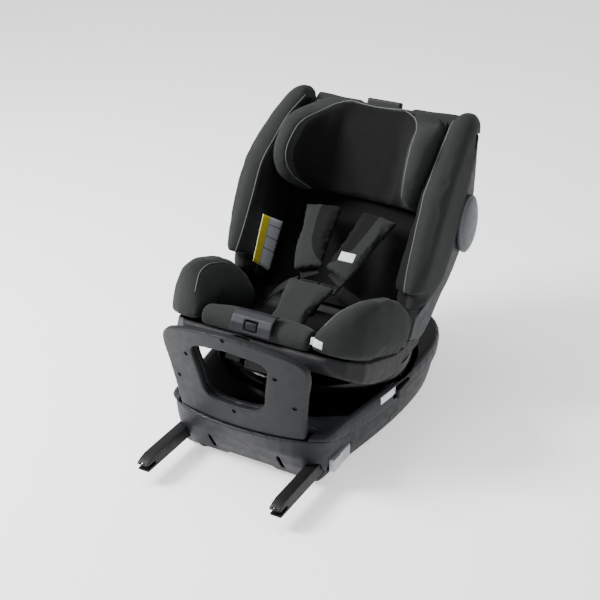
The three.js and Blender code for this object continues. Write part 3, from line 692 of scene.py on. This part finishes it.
def ribbon(name: str, path: Sequence[Point], width: float, thickness: float, across: Point,
           body: str) -> Piece:
    """A flat strap along a line, with thicker selvedges and its own strap coordinates.

    Args:
        name: The piece's name.
        path: Its middle line, in millimetres in the seat's frame.
        width: Its width, in millimetres.
        thickness: Its thickness, in millimetres.
        across: The direction of its width, in the seat's frame.
        body: The body that it rides on.

    Returns:
        The new piece.
    """
    line = smooth_path([seat_point(*p) for p in path], 0.003)
    half, thick = width * MM / 2, thickness * MM / 2
    section = [(-1, 0.2), (-0.97, 1), (-0.88, 1), (-0.84, 0.7), (0.84, 0.7), (0.88, 1), (0.97, 1), (1, 0.2),
               (1, -0.2), (0.97, -1), (0.88, -1), (0.84, -0.7),
        (-0.84, -0.7), (-0.88, -1), (-0.97, -1), (-1, -0.2)]
    work = bmesh.new()
    strap = work.loops.layers.uv.new("strap")
    rings, gone, places = [], 0.0, []
    for i, point in enumerate(line):
        direction = (line[min(i + 1, len(line) - 1)] - line[max(i - 1, 0)]).normalized()
        up = seat_direction(*across).cross(direction).normalized()
        side = direction.cross(up)
        gone += (point - line[i - 1]).length if i else 0.0
        rings.append([work.verts.new(point + side * u * half + up * v * thick) for u, v in section])
        places.append(gone)
    count = len(section)
    for i, (near, far) in enumerate(zip(rings, rings[1:])):
        for k in range(count):
            m = (k + 1) % count
            face = work.faces.new((near[k], near[m], far[m], far[k]))
            corners = [(k, i), (m, i), (m, i + 1), (k, i + 1)]
            for loop, (column, row) in zip(face.loops, corners):
                loop[strap].uv = (section[column][0] * half, places[row])
    work.faces.new(rings[0][::-1])
    work.faces.new(rings[-1])
    bmesh.ops.recalc_face_normals(work, faces=work.faces)
    mesh = mesh_of(name, work)
    return piece_from(name, mesh, STRAP, body)


def patch(name: str, corners: Sequence[Vector], onto: Piece, finish: Finish, body: str,
          lift: float = 0.0003, flat: bool = False) -> Piece:
    """A thin label or tag that follows the surface under it, or lies flat on its highest part.

    Args:
        name: The piece's name.
        corners: Its four corners in order, near the surface, in metres.
        onto: The piece that it is stuck to.
        finish: What it is made of.
        body: The body that it rides on.
        lift: Its thickness, in metres.
        flat: Whether it stays flat.

    Returns:
        The new piece.
    """
    surface, count = surface_of(onto), PATCH_CELLS
    a, b, c, d = corners
    middle = (a + b + c + d) / 4
    outward = (b - a).cross(d - a).normalized()
    if surface.find_nearest(middle)[1].dot(outward) < 0:
        outward = -outward
    steps = [k / count for k in range(count + 1)]
    spots = [[(a * (1 - u) + b * u) * (1 - v) + (d * (1 - u) + c * u) * v for v in steps] for u in steps]
    heights = []
    for row in spots:
        hits = [surface.ray_cast(at + outward * PATCH_REACH, -outward, 2 * PATCH_REACH)[0] for at in row]
        heights.append([(hit - at).dot(outward) if hit else None for hit, at in zip(hits, row)])
    known = [h for row in heights for h in row if h is not None]
    top = max(known, default=0.0)
    work = bmesh.new()
    grid = []
    for row, levels in zip(spots, heights):
        depths = [top if flat or level is None else level for level in levels]
        grid.append([work.verts.new(at + outward * (depth + lift)) for at, depth in zip(row, depths)])
    for i in range(count):
        for j in range(count):
            work.faces.new((grid[i][j], grid[i + 1][j], grid[i + 1][j + 1], grid[i][j + 1]))
    back = bmesh.ops.extrude_face_region(work, geom=work.faces[:])
    moved = [v for v in back["geom"] if isinstance(v, bmesh.types.BMVert)]
    bmesh.ops.translate(work, verts=moved, vec=-outward * lift * 2)
    bmesh.ops.recalc_face_normals(work, faces=work.faces)
    mesh = mesh_of(name, work)
    return piece_from(name, mesh, finish, body)


def screw(name: str, at: Vector, facing: Vector, radius: float, body: str) -> Piece:
    """A cap screw with a six-sided socket, its head turned from a profile.

    Args:
        name: The piece's name.
        at: The middle of its head, in metres.
        facing: The direction that the head faces.
        radius: The head's radius, in metres.
        body: The body that it rides on.

    Returns:
        The new piece.
    """
    profile = [(0.0, -0.45, 6), (0.42, -0.45, 6), (0.42, 0.0, 6), (0.86, 0.0, 24),
               (1.0, -0.15, 24), (1.0, -0.8, 24)]
    work = bmesh.new()
    turn = facing.to_track_quat("Z", "Y").to_matrix().to_4x4()
    spin = [2 * math.pi * k / 24 for k in range(24)]
    rings = []
    for r, z, sides in profile:
        ring = []
        for angle in spin:
            step = 2 * math.pi / sides
            flat = math.cos(step / 2) / math.cos((angle % step) - step / 2) if sides == 6 else 1.0
            out = r * flat
            ring.append(work.verts.new(Vector((out * math.cos(angle), out * math.sin(angle), z)) * radius))
        rings.append(ring)
    for near, far in zip(rings, rings[1:]):
        for k in range(24):
            m = (k + 1) % 24
            work.faces.new((near[k], near[m], far[m], far[k]))
    work.faces.new(rings[-1][::-1])
    bmesh.ops.remove_doubles(work, verts=work.verts, dist=1e-7)
    bmesh.ops.recalc_face_normals(work, faces=work.faces)
    work.transform(Matrix.Translation(at) @ turn)
    mesh = mesh_of(name, work)
    return piece_from(name, mesh, GRAPHITE, body, smooth=False)


# ---------------------------------------------------------------- base


@dataclass
class Base:
    """The swivel base, its rebound bar, anchor arms and support leg."""

    screw_places: Table = (
        (-119, 298), (119, 298), (-92, 250), (92, 250), (-121, 188), (121, 188), (0, 312), (0, 150),
    )
    screw_radius: float = 3.4
    recess_radius: float = 4.6
    recess_depth: float = 4.0
    deck_low: float = 0.100
    deck_reach: float = 0.262
    label_corners: Table = ((-0.048, 0.100), (0.004, 0.100), (0.004, 0.115), (-0.048, 0.115))
    # Corners of a flat dark patch: painted shade where the recessed grip notch falls dark.
    grip_corners: Table = ((0.012, 0.025), (0.048, 0.025), (0.048, 0.040), (0.012, 0.040))
    ribs: int = 6

    def build(self) -> None:
        """Builds every piece of the base."""
        upper = moulded("base_upper_shell", SLATE, "base", 0.0026, 8)
        self.gloss_deck(upper)
        lower = moulded("base_lower_shell", SLATE, "base", 0.0026, 9)
        self.build_bar()
        self.build_arms()
        self.build_leg()
        self.build_labels(upper, lower)
        for node in ("turntable_bearing_ring", "support_leg_hinge_pin"):
            refined(node, STEEL, "base", 0.0003)
        for side in Side:
            refined(f"base_rail_{side.word}", STEEL, "base", 0.0004)
            refined(f"foot_front_{side.word}", RUBBER, "base", 0.0008)
            refined(f"foot_rear_{side.word}", RUBBER, "base", 0.0008)
            lever = f"swivel_lever_{side.word}"
            moulded(lever, GRAPHITE, lever, 0.0016, 3)

    def gloss_deck(self, upper: Piece) -> None:
        """Finishes the deck round the bowl in gloss black.

        Args:
            upper: The upper shell.
        """
        upper.data.materials.append(Paint.of(PIANO))
        for polygon in upper.data.polygons:
            out = math.hypot(polygon.center.x, polygon.center.y - SWIVEL_Y)
            level = polygon.normal.z > 0.75 and polygon.center.z > self.deck_low
            polygon.material_index = int(level and out < self.deck_reach)

    def build_bar(self) -> None:
        """Builds the rebound bar, with a screw sunk in each of its recesses."""
        moulded("rebound_bar_rear_shell", GRAPHITE, "base", 0.0026, 8)
        node = "rebound_bar_front_shell"
        front = piece_from(node + "_moulded", node_copy(node), SLATE, "base")
        remeshed(front, 0.0022, 5)
        surface = surface_of(front)
        seats: list[tuple[Vector, Vector]] = []
        for x, z in self.screw_places:
            ahead = Vector((x * MM, -0.6, z * MM))
            hit, normal, _, _ = surface.ray_cast(ahead, Vector((0, 1, 0)))
            if hit is None:
                LOG.warning("no bar surface at x %s z %s", x, z)
                continue
            seats.append((hit, normal))
        self.sink(front, seats)
        for number, (hit, normal) in enumerate(seats, 1):
            at = hit - normal * self.recess_depth * 0.55 * MM
            screw(f"bar_screw_{number}", at, normal, self.screw_radius * MM, "base")
        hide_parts(node)

    def sink(self, obj: Piece, seats: Sequence[tuple[Vector, Vector]]) -> None:
        """Cuts a round recess at each screw.

        Args:
            obj: The shell that is cut.
            seats: Each recess's middle and the direction that it faces.
        """
        work = bmesh.new()
        for hit, normal in seats:
            turn = normal.to_track_quat("Z", "Y").to_matrix().to_4x4()
            place = Matrix.Translation(hit) @ turn
            radius, depth = self.recess_radius * MM, 2 * self.recess_depth * MM
            bmesh.ops.create_cone(work, cap_ends=True, segments=28, radius1=radius, radius2=radius,
                                  depth=depth, matrix=place)
        mesh = mesh_of("recess_cutter", work)
        cutter = bpy.data.objects.new("recess_cutter", mesh)
        bpy.context.scene.collection.objects.link(cutter)
        cut = obj.modifiers.new("recess", "BOOLEAN")
        cut.object = cutter
        cut.operation = "DIFFERENCE"
        cut.solver = "EXACT"
        settle(obj)
        obj.data.set_sharp_from_angle(angle=math.radians(50))
        bpy.data.objects.remove(cutter)

    def build_arms(self) -> None:
        """Builds the anchor arms, their hooks and the ribbed release buttons."""
        for side in Side:
            word, sign = side.word, side.value
            refined(f"isofix_arm_{word}", GRAPHITE, f"isofix_arm_{word}", 0.0022)
            refined(f"isofix_hook_{word}", STEEL, f"isofix_hook_{word}", 0.0006)
            release = f"isofix_release_{word}"
            refined(release, PALE, release, 0.0016)
            low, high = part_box(release)
            outer = high.x if sign > 0 else low.x
            for k in range(self.ribs):
                y = low.y + (high.y - low.y) * (k + 1) / (self.ribs + 1)
                ends = [Vector((outer, y, low.z + 0.006)), Vector((outer, y, high.z - 0.006))]
                path = smooth_path(ends, 0.003)
                tube(f"release_rib_{word}_{k + 1}", path, 0.0009, PALE, release)

    def build_leg(self) -> None:
        """Builds the folded support leg."""
        refined("support_leg", GRAPHITE, "support_leg", 0.0020)
        refined("support_leg_inner", ALLOY, "support_leg_inner", 0.0014)
        refined("support_leg_foot", GRAPHITE, "support_leg_inner", 0.0022)
        refined("support_leg_button", PALE, "support_leg_button", 0.0008)

    def build_labels(self, upper: Piece, lower: Piece) -> None:
        """Adds the blank label, and on the child's left a flat dark patch that is painted shade of the
        recessed grip notch.

        Args:
            upper: The upper shell.
            lower: The lower shell.
        """
        label = [Vector((0.21, y, z)) for y, z in self.label_corners]
        patch("base_label_blank", label, upper, VINYL, "base")
        # Painted shade: dark plastic laid flat on the lower shell in place of the shadow inside the grip
        # notch.
        grip = [Vector((0.19, y, z)) for y, z in self.grip_corners]
        patch("base_finger_grip", grip, lower, GRAPHITE, "base")


# ---------------------------------------------------------------- turntable


@dataclass
class Turntable:
    """The glossy bowl that the seat reclines in, and its rails."""

    bowl_edge: float = 0.0018

    def build(self) -> None:
        """Builds the bowl, its hub and the recline rails."""
        refined("turntable", PIANO, "turntable", self.bowl_edge)
        refined("turntable_hub", STEEL, "turntable", 0.0005)
        for side in Side:
            refined(f"recline_rail_{side.word}", COATED_STEEL, "turntable", 0.0006)


# ---------------------------------------------------------------- seat


@dataclass
class Seat:
    """The seat's shells and its upholstery."""

    cushion_break: float = -215.0
    back_screw_half: float = 96.0
    top_cover_ends: tuple[float, float] = (70.0, 130.0)
    top_cover_top: float = 619.0
    top_cover_drop: float = 34.0
    back_screw_heights: tuple[float, ...] = (300.0, 410.0, 520.0)
    wing_seam: tuple[Point, ...] = (
        (183, -126, 262), (180, -117, 312), (178, -110, 359), (176, -104, 410),
        (175, -96, 460), (171, -67, 508), (168, -34, 557), (162, 20, 607),
    )
    label_corners: tuple[Point, ...] = (
        (-150, -112, 259), (-150, -34, 237), (-150, -13, 340), (-150, -104, 355),
    )
    tag_corners: tuple[Point, ...] = ((118, -352, 184), (142, -352, 180), (142, -352, 166), (118, -352, 170))
    label_rules: tuple[float, ...] = (0.36, 0.60, 0.84)
    rule_width: float = 0.0012
    green_corners: tuple[Point, ...] = (
        (-150, -88, 233), (-150, -56, 226), (-150, -52, 246), (-150, -84, 253),
    )

    def build(self) -> None:
        """Builds the shells, then each cover."""
        moulded("seat_shell_lower", UNDER_SHELL, "seat", 0.003, 16)
        back = moulded("seat_shell_back", SHELL, "seat", 0.003, 12)
        self.build_back_screws(back)
        self.build_cushions()
        self.build_bolsters()
        self.build_wings()
        self.build_adjuster()

    def build_back_screws(self, back: Piece) -> None:
        """Fastens the back shell with screws in two rows.

        Args:
            back: The back shell.
        """
        surface = surface_of(back)
        inward = seat_direction(0, -1, 0)
        for row, z in enumerate(self.back_screw_heights, 1):
            for side in Side:
                behind = seat_point(side.value * self.back_screw_half, 400, z)
                hit, normal, _, _ = surface.ray_cast(behind, inward)
                if hit is not None:
                    screw(f"back_screw_{side.word}_{row}", hit + normal * 0.0008, normal, 0.0045, "seat")

    def build_cushions(self) -> None:
        """Builds the cushion, its cross seam, the back pad and the cover over the back's top edge."""
        cushion = upholstered("seat_cushion", "seat", 0.004,
                              dark=lambda p: p.y > self.cushion_break)
        seam = [(x, self.cushion_break, 210) for x in (-98, -60, -20, 20, 60, 98)]
        piped("seat_cushion_seam", seam, cushion, "seat", 0.0007)
        upholstered("back_pad", "seat", 0.003, finish=KNIT_DARK)
        upholstered("back_top_cover", "seat", 0.002, reshape=self.draped_top)

    def draped_top(self, p: Vector) -> Vector:
        """Lets the top cover's lower edge hang down beside the wings.

        Args:
            p: A point of the plain cover, in the seat's frame.

        Returns:
            Where the point goes.
        """
        low, high = self.top_cover_ends
        share = max(0.0, min(1.0, (abs(p.x) - low) / (high - low)))
        lower = max(0.0, min(1.0, (self.top_cover_top - p.z) / 26))
        return Vector((p.x, p.y, p.z - self.top_cover_drop * lower * share * share * (3 - 2 * share)))

    def build_bolsters(self) -> None:
        """Builds the side bolsters, each with piping along its inner shoulder."""
        for side in Side:
            bolster = upholstered(f"seat_bolster_{side.word}", "seat", 0.006, rounds=16)
            guides = self.bolster_ridge(side)
            piped(f"bolster_piping_{side.word}", guides, bolster, "seat")
            if side is Side.LEFT:
                tag = [seat_point(*p) for p in self.tag_corners]
                patch("bolster_tag", tag, bolster, TAG, "seat")

    def bolster_ridge(self, side: Side) -> list[Point]:
        """Finds the inner shoulder of a bolster from its solid.

        Args:
            side: Which bolster.

        Returns:
            Points along the shoulder, from front to back, in the seat's frame.
        """
        rings: dict[int, list[Vector]] = {}
        for vertex in frame["nodes"][f"seat_bolster_{side.word}"].data.vertices:
            p = in_seat(vertex.co)
            rings.setdefault(round(p.y), []).append(p)
        ridge: list[Point] = []
        for y in sorted(rings):
            xs = [abs(p.x) for p in rings[y]]
            crest = max(p.z for p in rings[y])
            ridge.append((side.value * (min(xs) + (max(xs) - min(xs)) * 0.34), y, crest - 6))
        return ridge[1:-1]

    def build_wings(self) -> None:
        """Builds the side wings, dark inside their seam, with piping along it."""
        limits = [(z, x) for x, _, z in self.wing_seam]
        for side in Side:
            sign = side.value
            wing = upholstered(f"wing_cover_{side.word}", "seat", 0.005, rounds=12,
                               dark=lambda p: abs(p.x) < along(limits, p.z) - 0.5)
            seam = [(sign * x, y, z) for x, y, z in self.wing_seam]
            piped(f"wing_piping_{side.word}", seam, wing, "seat", 0.0011)
            if side is Side.RIGHT:
                self.build_wing_labels(wing)

    def build_wing_labels(self, wing: Piece) -> None:
        """Adds a blank two-colour label with three plain lines, and a green patch, inside one wing.

        Args:
            wing: The wing that they are on.
        """
        corners = [seat_point(*p) for p in self.label_corners]
        label = patch("wing_label_white", corners, wing, VINYL, "seat", 0.0004, True)
        face = max(vertex.co.x for vertex in label.data.vertices)
        a, b, c, d = (Vector((face + 0.0005, p.y, p.z)) for p in corners)
        strip = 0.36
        inner_low, inner_high = a.lerp(b, strip), d.lerp(c, strip)
        patch("wing_label_yellow", [a, inner_low, inner_high, d], label, VINYL_YELLOW, "seat", 0.0003, True)
        for number, share in enumerate(self.label_rules, 1):
            near, far = inner_low.lerp(inner_high, share), b.lerp(c, share)
            step = (inner_high - inner_low).normalized() * self.rule_width
            rule = [near, far, far + step, near + step]
            patch(f"wing_label_rule_{number}", rule, label, GRAPHITE, "seat", 0.0003, True)
        green = [seat_point(*p) for p in self.green_corners]
        patch("wing_green_patch", green, wing, GREEN, "seat", 0.0004, True)

    def build_adjuster(self) -> None:
        """Builds the harness adjuster, its strap and the recline handle."""
        moulded("adjuster_cover", SHELL, "seat", 0.0018, 5)
        refined("adjuster_button", GRAPHITE, "adjuster_button", 0.0010)
        tail = [(-24, -330, 136), (-24, -343, 139), (-24, -351, 132), (-24, -354, 120), (-24, -353, 108)]
        strap = ribbon("adjuster_strap_webbing", tail, 30, 2, (1, 0, 0), "seat")
        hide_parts("adjuster_strap")
        moulded("recline_handle", GRAPHITE, "recline_handle", 0.0018, 5)


# ---------------------------------------------------------------- harness


@dataclass
class Harness:
    """The straps, the buckle and the pads on them."""

    shoulder_path: tuple[Point, ...] = (
        (26, -90.5, 254), (34, -83, 267), (45, -60, 303), (57, -18, 358), (63, 2, 383),
    )
    lap_path: tuple[Point, ...] = ((49, -104, 239), (78, -92, 224), (104, -76, 205), (122, -58, 190))
    lap_across: Point = (0, 0.755, 0.656)
    crotch_flare: Table = ((170, 0.95), (205, 1.1), (240, 1.32))
    pad_flare: Table = ((265, 1.02), (310, 1.22), (390, 1.34))
    pad_divide: Table = ((284, 0), (292, 18), (305, 34), (325, 47), (360, 58), (392, 65))

    def build(self) -> None:
        """Builds every piece of the harness."""
        upholstered("crotch_pad", "seat", 0.006, 0.004, 10, reshape=self.flared)
        moulded("buckle_body", GRAPHITE, "seat", 0.0015, 4)
        refined("buckle_button", RED, "buckle_button", 0.0012)
        refined("harness_yoke", STEEL, "seat", 0.0008)
        for side in Side:
            self.build_side(side)

    def flared(self, p: Vector) -> Vector:
        """Widens the crotch pad towards its top.

        Args:
            p: A point of the plain pad, in the seat's frame.

        Returns:
            Where the point goes.
        """
        return Vector((p.x * along(self.crotch_flare, p.z), p.y, p.z))

    def fuller(self, side: Side) -> Callable[[Vector], Vector]:
        """Widens a shoulder pad about its strap, most at the top.

        Args:
            side: Which pad.

        Returns:
            A function that moves a point in the seat's frame.
        """
        middle = [(z, side.value * x) for x, _, z in self.shoulder_path]

        def move(p: Vector) -> Vector:
            """Moves one point away from the strap's middle."""
            centre = along(middle, p.z)
            return Vector((centre + (p.x - centre) * along(self.pad_flare, p.z), p.y, p.z))

        return move

    def build_side(self, side: Side) -> None:
        """Builds one side's straps, tongue and shoulder pad.

        Args:
            side: Which side.
        """
        word, sign = side.word, side.value
        refined(f"buckle_tongue_{word}", GRAPHITE, "seat", 0.0007)
        lap = [(sign * x, y, z) for x, y, z in self.lap_path]
        lap_strap = ribbon(f"lap_webbing_{word}", lap, 32, 2, self.lap_across, "seat")
        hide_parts(f"lap_strap_{word}")
        path = [(sign * x, y, z) for x, y, z in self.shoulder_path]
        strap = ribbon(f"shoulder_webbing_{word}", path, 38, 2, (1, 0, 0), "seat")
        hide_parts(f"shoulder_strap_{word}")
        self.follow_headrest(strap)
        pad = upholstered(f"shoulder_pad_{word}", "headrest", 0.005, 0.004, 9, reshape=self.fuller(side),
                          dark=lambda p: abs(p.x) < along(self.pad_divide, p.z))
        height = [(z, y - 8) for _, y, z in self.shoulder_path]
        edge = [(sign * x, along(height, z), z) for z, x in self.pad_divide[1:]]
        piped(f"shoulder_pad_piping_{word}", edge, pad, "headrest", 0.0008)
        if side is Side.LEFT:
            tag = [seat_point(*p) for p in ((26, -86, 296), (58, -86, 296), (58, -74, 312), (26, -74, 312))]
            patch("shoulder_pad_tag", tag, pad, TAG, "headrest", 0.0005)

    def follow_headrest(self, strap: Piece) -> None:
        """Takes a shoulder strap off every body and leaves it fixed where it lies, between the seat and the
        headrest.

        Args:
            strap: The strap.
        """
        strap.parent = None
        del strap["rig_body"]
        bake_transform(strap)


# ---------------------------------------------------------------- headrest


@dataclass
class Headrest:
    """The headrest's cushion, shell and grip."""

    seam: tuple[Point, ...] = (
        (102, -1, 411), (113, -70, 437), (120, -93, 465), (121, -97, 493),
        (117, -90, 520), (114, -78, 547), (106, -47, 573), (86, 12, 598),
    )

    def build(self) -> None:
        """Builds every piece of the headrest."""
        limits = [(z, x) for x, _, z in self.seam]
        low, high = self.seam[0][2], 604
        cushion = upholstered(
            "headrest_cushion", "headrest", 0.005, rounds=26,
            dark=lambda p: low < p.z < high and abs(p.x) < along(limits, p.z) - 0.5)
        right = [(-x, y, z) for x, y, z in self.seam]
        across = [*right, (0, 24, 604), *reversed(self.seam)]
        piped("headrest_piping", across, cushion, "headrest", 0.0011)
        refined("headrest_shell", GRAPHITE, "headrest", 0.0016)
        refined("headrest_carriage", STEEL, "headrest", 0.0006)
        moulded("headrest_grip", GRAPHITE, "headrest_grip", 0.0018, 5)


@dataclass
class SideProtectors:
    """The oval impact protectors on both sides of the shell."""

    voxel: float = 0.0018

    def build(self) -> None:
        """Builds both protectors."""
        for side in Side:
            node = f"side_protector_{side.word}"
            moulded(node, OVAL, node, self.voxel, 5)


# ---------------------------------------------------------------- studio


@dataclass
class Studio:
    """A pale floor, soft light and the camera."""

    camera_at: Point = (1.010, -1.8503, 1.367)
    azimuth: float = 28.887
    elevation: float = 27.828
    lens: float = 73.9
    sky: float = 0.5
    floor_glow: float = 0.85

    def build(self) -> None:
        """Builds the floor, the lights and the camera."""
        self.build_floor()
        self.build_lights()
        self.build_camera()

    def build_floor(self) -> None:
        """Makes a wide pale floor with a faint unevenness in its colour."""
        work = bmesh.new()
        bmesh.ops.create_grid(work, x_segments=4, y_segments=4, size=12)
        mesh = mesh_of("floor", work)
        floor = bpy.data.objects.new("floor", mesh)
        bpy.context.scene.collection.objects.link(floor)
        n = Nodes("floor_paint")
        tone = n.ramp(n.noise(n.place(), 3), (0.93, 0.93, 0.935), (0.95, 0.95, 0.955))
        n.link(tone, n.shader.inputs["Base Color"])
        n.shader.inputs["Roughness"].default_value = 0.9
        n.shader.inputs["Emission Color"].default_value = (1.0, 1.0, 1.0, 1.0)
        n.shader.inputs["Emission Strength"].default_value = self.floor_glow
        mesh.materials.append(n.material)
        floor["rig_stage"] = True

    def build_lights(self) -> None:
        """Lights the seat softly from above and from the child's right."""
        world = bpy.data.worlds.new("studio")
        world.use_nodes = True
        world.node_tree.nodes["Background"].inputs["Color"].default_value = (0.96, 0.98, 1.0, 1.0)
        world.node_tree.nodes["Background"].inputs["Strength"].default_value = self.sky
        bpy.context.scene.world = world
        lamps = (("key", (-1.8, -1.2, 2.1), 165.0, 0.9), ("top", (-0.6, -0.2, 2.8), 40.0, 1.6))
        for name, at, power, size in lamps:
            light = bpy.data.lights.new(name, "AREA")
            light.energy = power
            light.size = size
            lamp = bpy.data.objects.new(name, light)
            lamp.location = at
            aim = Vector((0, 0, 0.3)) - Vector(at)
            lamp.rotation_euler = aim.to_track_quat("-Z", "Y").to_euler()
            bpy.context.scene.collection.objects.link(lamp)

    def build_camera(self) -> None:
        """Stands the camera in front of the seat on the child's left, looking down at it."""
        data = bpy.data.cameras.new("camera")
        data.lens = self.lens
        data.sensor_width = 36
        camera = bpy.data.objects.new("camera", data)
        a, e = math.radians(self.azimuth), math.radians(self.elevation)
        back = Vector((math.sin(a) * math.cos(e), -math.cos(a) * math.cos(e), math.sin(e)))
        camera.location = self.camera_at
        camera.rotation_mode = "QUATERNION"
        camera.rotation_quaternion = back.to_track_quat("Z", "Y")
        bpy.context.scene.collection.objects.link(camera)
        bpy.context.scene.camera = camera


def main() -> None:
    """Builds the studio and every part of the seat, and writes how big it is."""
    logging.basicConfig(level=logging.INFO, format="%(name)s: %(message)s")
    for part in (Studio(), Base(), Turntable(), Seat(), Harness(), Headrest(), SideProtectors()):
        part.build()
        LOG.info("built %s", type(part).__name__)
    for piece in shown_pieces():
        LOG.info("piece %s has %d faces", piece.name, len(piece.data.polygons))


if __name__ == "__main__":
    main()
